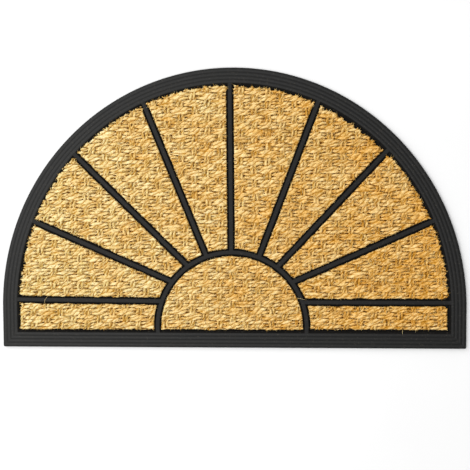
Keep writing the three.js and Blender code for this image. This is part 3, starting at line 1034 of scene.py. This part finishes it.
def moulded_rubber():
    """Filled black rubber pressed in a steel mould: near black and satin, with dust on it.

    Its grooves are duller than its crests and painted blacker with shade, and painted light makes it lighter
    towards the left.
    """
    material, tree, surface = new_finish("moulded_rubber", roughness=0.5, ior=1.52, gloss=0.16)
    place = add_node(tree, "ShaderNodeTexCoord").outputs["Object"]
    bloom = add_node(tree, "ShaderNodeTexNoise", {
        "Vector": place, "Scale": repeats(BLOOM), "Detail": 6.0, "Roughness": 0.65}).outputs["Fac"]
    colour = set_ramp(add_node(tree, "ShaderNodeValToRGB", {"Fac": bloom}), [
        (0.3, "#0f0f0f"), (0.62, "#131312"), (0.8, "#1e1c1a")]).outputs["Color"]
    east, _, height = add_node(tree, "ShaderNodeSeparateXYZ", {"Vector": place}).outputs
    # Painted light: the rubber is painted lighter towards the left, where the light falls on it more.
    painted_left_light = add_node(tree, "ShaderNodeMapRange", {
        "Value": east, "From Min": HALF_WIDTH * MM, "From Max": -HALF_WIDTH * MM, "To Max": 0.5}).outputs[0]
    colour = add_node(tree, "ShaderNodeMix", {
        0: painted_left_light, 6: colour, 7: linear("#2a2a29")}, data_type="RGBA").outputs[2]
    # Painted shade: low in the grooves the rubber is painted nearly black, and it is rougher there too.
    sunk = add_node(tree, "ShaderNodeMapRange", {
        "Value": height, "From Min": SHADE_AND_DULL_TOP * MM, "From Max": SHADE_AND_DULL_FULL * MM}).outputs[0]
    colour = add_node(tree, "ShaderNodeMix", {
        0: sunk, 6: colour, 7: linear("#0b0a09")}, data_type="RGBA").outputs[2]
    fleck = add_node(tree, "ShaderNodeTexNoise", {
        "Vector": place, "Scale": repeats(DUST_FLECK), "Detail": 1.0}).outputs["Fac"]
    fleck = add_node(tree, "ShaderNodeMapRange", {
        "Value": fleck, "From Min": 0.62, "From Max": 0.82, "To Max": 0.6}).outputs[0]
    colour = add_node(tree, "ShaderNodeMix", {
        0: fleck, 6: colour, 7: linear("#47423a")}, data_type="RGBA").outputs[2]
    tree.links.new(colour, surface.inputs["Base Color"])

    satin = add_node(tree, "ShaderNodeMapRange", {"Value": bloom, "To Min": 0.42, "To Max": 0.58}).outputs[0]
    satin = add_node(tree, "ShaderNodeMath", {
        0: sunk, 1: 0.45, 2: satin}, operation="MULTIPLY_ADD", use_clamp=True).outputs[0]
    tree.links.new(satin, surface.inputs["Roughness"])

    # The skin has the fine grain of its mould, drawn ten times as coarse so that it shows.
    grain = add_node(tree, "ShaderNodeTexNoise", {
        "Vector": place, "Scale": repeats(SKIN_GRAIN), "Detail": 3.0}).outputs["Fac"]
    skin = add_node(tree, "ShaderNodeBump", {"Height": grain, "Strength": 0.25, "Distance": 0.3 * MM})
    tree.links.new(skin.outputs["Normal"], surface.inputs["Normal"])
    return material


def coconut_colour(tree, place, tone, tint):
    """Straw and russet fibre, mixed in patches, and painted more russet towards the right, a painted warm
    light.
    """
    straw = set_ramp(add_node(tree, "ShaderNodeValToRGB", {"Fac": tone}), [
        (0.1, "#926d1a"), (0.3, "#c1a357"), (0.5, "#dec889"), (0.7, "#ead59c"), (0.95, "#f4e1b1"),
    ]).outputs["Color"]
    russet = set_ramp(add_node(tree, "ShaderNodeValToRGB", {"Fac": tone}), [
        (0.1, "#825006"), (0.3, "#b27e28"), (0.5, "#d5a04d"), (0.7, "#e6b76b"), (0.95, "#f3cf8a"),
    ]).outputs["Color"]
    # Painted light: the cloth is painted more russet towards the right, in place of a warm light from that
    # side. The patches, the yarns' tints and the browner base panels are the fibre's own colour.
    east = add_node(tree, "ShaderNodeSeparateXYZ", {"Vector": place}).outputs["X"]
    russet_and_warm_light = add_node(tree, "ShaderNodeMapRange", {
        "Value": east, "From Min": -HALF_WIDTH * MM, "From Max": HALF_WIDTH * MM}, clamp=False).outputs[0]
    patch = add_node(tree, "ShaderNodeTexNoise", {
        "Vector": place, "Scale": repeats(BROWN_PATCH), "Detail": 3.0}).outputs["Fac"]
    away = add_node(tree, "ShaderNodeMath", {0: patch, 1: 0.5}, operation="SUBTRACT").outputs[0]
    russet_and_warm_light = add_node(tree, "ShaderNodeMath", {
        0: away, 1: 1.3, 2: russet_and_warm_light}, operation="MULTIPLY_ADD").outputs[0]
    browner = add_node(tree, "ShaderNodeAttribute", attribute_name="browner").outputs["Fac"]
    russet_and_warm_light = add_node(tree, "ShaderNodeMath", {0: russet_and_warm_light, 1: browner}, operation="ADD").outputs[0]
    away = add_node(tree, "ShaderNodeMath", {0: tint, 1: 0.5}, operation="SUBTRACT").outputs[0]
    russet_and_warm_light = add_node(tree, "ShaderNodeMath", {
        0: away, 1: -0.5, 2: russet_and_warm_light}, operation="MULTIPLY_ADD", use_clamp=True).outputs[0]
    return add_node(tree, "ShaderNodeMix", {0: russet_and_warm_light, 6: straw, 7: russet}, data_type="RGBA").outputs[2]


def weave_shade(tree, across, ply, bundle):
    """Shade between yarns, broken where fibres bridge the seam, between plies and in holes."""
    side = add_node(tree, "ShaderNodeMath", {0: across}, operation="ABSOLUTE").outputs[0]
    seam = add_node(tree, "ShaderNodeMapRange", {
        "Value": side, "From Min": 0.7, "From Max": 1.0, "To Max": 0.6},
        interpolation_type="SMOOTHSTEP").outputs[0]
    bridged = add_node(tree, "ShaderNodeMath", {0: bundle, 1: ply}, operation="ADD").outputs[0]
    bridged = add_node(tree, "ShaderNodeMapRange", {
        "Value": bridged, "From Min": 1.25, "From Max": 0.85}).outputs[0]
    seam = add_node(tree, "ShaderNodeMath", {0: seam, 1: bridged}, operation="MULTIPLY").outputs[0]
    depth = add_node(tree, "ShaderNodeAttribute", attribute_name="depth").outputs["Fac"]
    hole = add_node(tree, "ShaderNodeMapRange", {
        "Value": depth, "From Min": 0.2, "From Max": 0.65}).outputs[0]
    groove = add_node(tree, "ShaderNodeMapRange", {
        "Value": ply, "From Min": 0.48, "From Max": 0.0, "To Max": 0.45}).outputs[0]
    shade = add_node(tree, "ShaderNodeMath", {0: seam, 1: hole}, operation="MAXIMUM").outputs[0]
    return add_node(tree, "ShaderNodeMath", {0: shade, 1: groove}, operation="MAXIMUM").outputs[0]


def spun_coir():
    """Two-ply yarn spun from brown and pale coconut fibre: matt, hairy, streaked along the plies."""
    material, tree, surface = new_finish("spun_coir", roughness=0.9, ior=1.5, gloss=0.02)
    place = add_node(tree, "ShaderNodeTexCoord").outputs["Object"]
    yarn = add_node(tree, "ShaderNodeAttribute", attribute_name="yarn").outputs["Vector"]
    along, twist, tint = add_node(tree, "ShaderNodeSeparateXYZ", {"Vector": yarn}).outputs
    cover = add_node(tree, "ShaderNodeAttribute", attribute_name="cover").outputs["Vector"]
    across, on_warp, lot = add_node(tree, "ShaderNodeSeparateXYZ", {"Vector": cover}).outputs

    # The two plies of a yarn: 1 on a ply's crown, 0 in the groove between them.
    turn = add_node(tree, "ShaderNodeMath", {0: twist}, operation="COSINE").outputs[0]
    ply = add_node(tree, "ShaderNodeMath", {0: turn}, operation="ABSOLUTE").outputs[0]

    # Bundles of fibre lie along the ply, with strands in them. A strand is drawn about 0.7 mm wide,
    # three times as wide as a coconut fibre, so that it shows.
    bundle_place = add_node(tree, "ShaderNodeCombineXYZ", {
        "X": add_node(tree, "ShaderNodeMath", {0: along, 1: BUNDLE_LENGTH}, operation="DIVIDE").outputs[0],
        "Y": add_node(tree, "ShaderNodeMath", {
            0: twist, 1: BUNDLES_PER_RADIAN}, operation="MULTIPLY").outputs[0],
        "Z": add_node(tree, "ShaderNodeMath", {0: lot, 1: LOT_STEP}, operation="MULTIPLY").outputs[0],
    }).outputs[0]
    bundle = add_node(tree, "ShaderNodeTexNoise", {
        "Vector": bundle_place, "Scale": 1.0, "Detail": 2.0, "Roughness": 0.6}).outputs["Fac"]
    strand = add_node(tree, "ShaderNodeTexNoise", {
        "Vector": bundle_place, "Scale": STRANDS_PER_BUNDLE, "Detail": 4.0, "Roughness": 0.7}).outputs["Fac"]
    speck = add_node(tree, "ShaderNodeTexNoise", {
        "Vector": place, "Scale": repeats(FIBRE_SPECK), "Detail": 2.0}).outputs["Fac"]

    # How pale the fibre is: each part adds its share of how far it lies from its own middle. The ply's share
    # is a painted highlight that makes each ply's crown paler.
    tone = add_node(tree, "ShaderNodeMapRange", {
        "Value": bundle, "From Min": 0.3, "From Max": 0.7, "To Min": 0.24, "To Max": 0.81}).outputs[0]
    parts = [
        (strand, 0.5, 0.85), (tint, 0.5, 0.22), (ply, 0.64, 0.15), (speck, 0.5, 0.4), (on_warp, 0.3, -0.12),
    ]
    for value, middle, share in parts:
        away = add_node(tree, "ShaderNodeMath", {0: value, 1: middle}, operation="SUBTRACT").outputs[0]
        tone = add_node(tree, "ShaderNodeMath", {
            0: away, 1: share, 2: tone}, operation="MULTIPLY_ADD").outputs[0]
    fibre = coconut_colour(tree, place, tone, tint)

    # Painted light and shade: the shade's edges are painted warmer, as if lit by light that has passed
    # through the fibre, and its depths are painted dark brown.
    shade = weave_shade(tree, across, ply, bundle)
    warm = add_node(tree, "ShaderNodeMapRange", {
        "Value": shade, "From Max": 0.4, "To Max": 0.85}).outputs[0]
    warmed = add_node(tree, "ShaderNodeMix", {
        0: warm, 6: fibre, 7: linear("#ac7008")}, data_type="RGBA").outputs[2]
    deep = add_node(tree, "ShaderNodeMapRange", {
        "Value": shade, "From Min": 0.27, "To Max": 0.9}).outputs[0]
    shaded = add_node(tree, "ShaderNodeMix", {
        0: deep, 6: warmed, 7: linear("#502c00")}, data_type="RGBA").outputs[2]
    tree.links.new(shaded, surface.inputs["Base Color"])

    height = add_node(tree, "ShaderNodeMath", {0: bundle, 1: strand}, operation="ADD").outputs[0]
    height = add_node(tree, "ShaderNodeMath", {
        0: ply, 1: 0.6, 2: height}, operation="MULTIPLY_ADD").outputs[0]
    relief = add_node(tree, "ShaderNodeBump", {"Height": height, "Strength": 0.8, "Distance": 0.8 * MM})
    tree.links.new(relief.outputs["Normal"], surface.inputs["Normal"])
    return material


def loose_fibre():
    """Single coconut fibres: stiff, slightly glossy, from pale straw to brown."""
    material, tree, surface = new_finish("loose_coconut_fibre", roughness=0.6, ior=1.5, gloss=0.2)
    tint = add_node(tree, "ShaderNodeAttribute", attribute_name="tint").outputs["Fac"]
    colour = set_ramp(add_node(tree, "ShaderNodeValToRGB", {"Fac": tint}), [
        (0.0, "#3c2002"), (0.17, "#75460c"), (0.3, "#bd8e38"), (0.6, "#e3c06e"), (1.0, "#f8e2a4"),
    ]).outputs["Color"]
    tree.links.new(colour, surface.inputs["Base Color"])
    return material


def pale_floor():
    """Painted board, matt and pale, with a faint haze, for the studio floor."""
    material, tree, surface = new_finish("pale_floor_paint", roughness=0.9, ior=1.5, gloss=0.5)
    place = add_node(tree, "ShaderNodeTexCoord").outputs["Object"]
    haze = add_node(tree, "ShaderNodeTexNoise", {
        "Vector": place, "Scale": repeats(FLOOR_HAZE)}).outputs["Fac"]
    colour = set_ramp(add_node(tree, "ShaderNodeValToRGB", {"Fac": haze}), [
        (0.3, "#e0e0e0"), (0.7, "#e3e3e3")]).outputs["Color"]
    tree.links.new(colour, surface.inputs["Base Color"])
    return material


# Studio

def lay_floor():
    """A plain pale floor under the mat."""
    half = FLOOR_HALF
    points = np.array([[-half, -half, 0], [half, -half, 0], [half, half, 0], [-half, half, 0]], float)
    floor = mesh_object("studio_floor", points, [np.array([[0, 1, 2, 3]])], smooth=False)
    floor.data.materials.append(pale_floor())


def hang_light(name, place, size, watts):
    """A square soft light that is aimed at the middle of the mat."""
    lamp = bpy.data.lights.new(name, "AREA")
    lamp.shape = "RECTANGLE"
    lamp.size = size
    lamp.size_y = size
    lamp.energy = watts
    lamp.color = linear("#ffffff")[:3]
    light = bpy.data.objects.new(name, lamp)
    light.location = place
    distance = math.hypot(*place)
    light.rotation_euler = (math.acos(place[2] / distance), 0, math.atan2(place[1], place[0]) + math.pi / 2)
    bpy.context.scene.collection.objects.link(light)


def light_studio():
    """A key light from the left behind, a broad light overhead and white light from all round."""
    for light in LIGHTS:
        hang_light(**light)
    world = bpy.data.worlds.new("studio")
    world.use_nodes = True
    background = world.node_tree.nodes["Background"]
    background.inputs["Color"].default_value = linear("#ffffff")
    background.inputs["Strength"].default_value = ROOM_LIGHT
    bpy.context.scene.world = world
    bpy.context.scene.view_settings.view_transform = "Standard"


def main():
    place_camera()
    lay_floor()
    light_studio()
    make_tray(moulded_rubber())
    cloth, fibre = spun_coir(), loose_fibre()
    for number, node in enumerate(PANELS):
        outline, grid = weave_panel(node, number, cloth)
        scatter_fibres(node, number, outline, grid, fibre)
    lay_stray_fibres(fibre)


main()
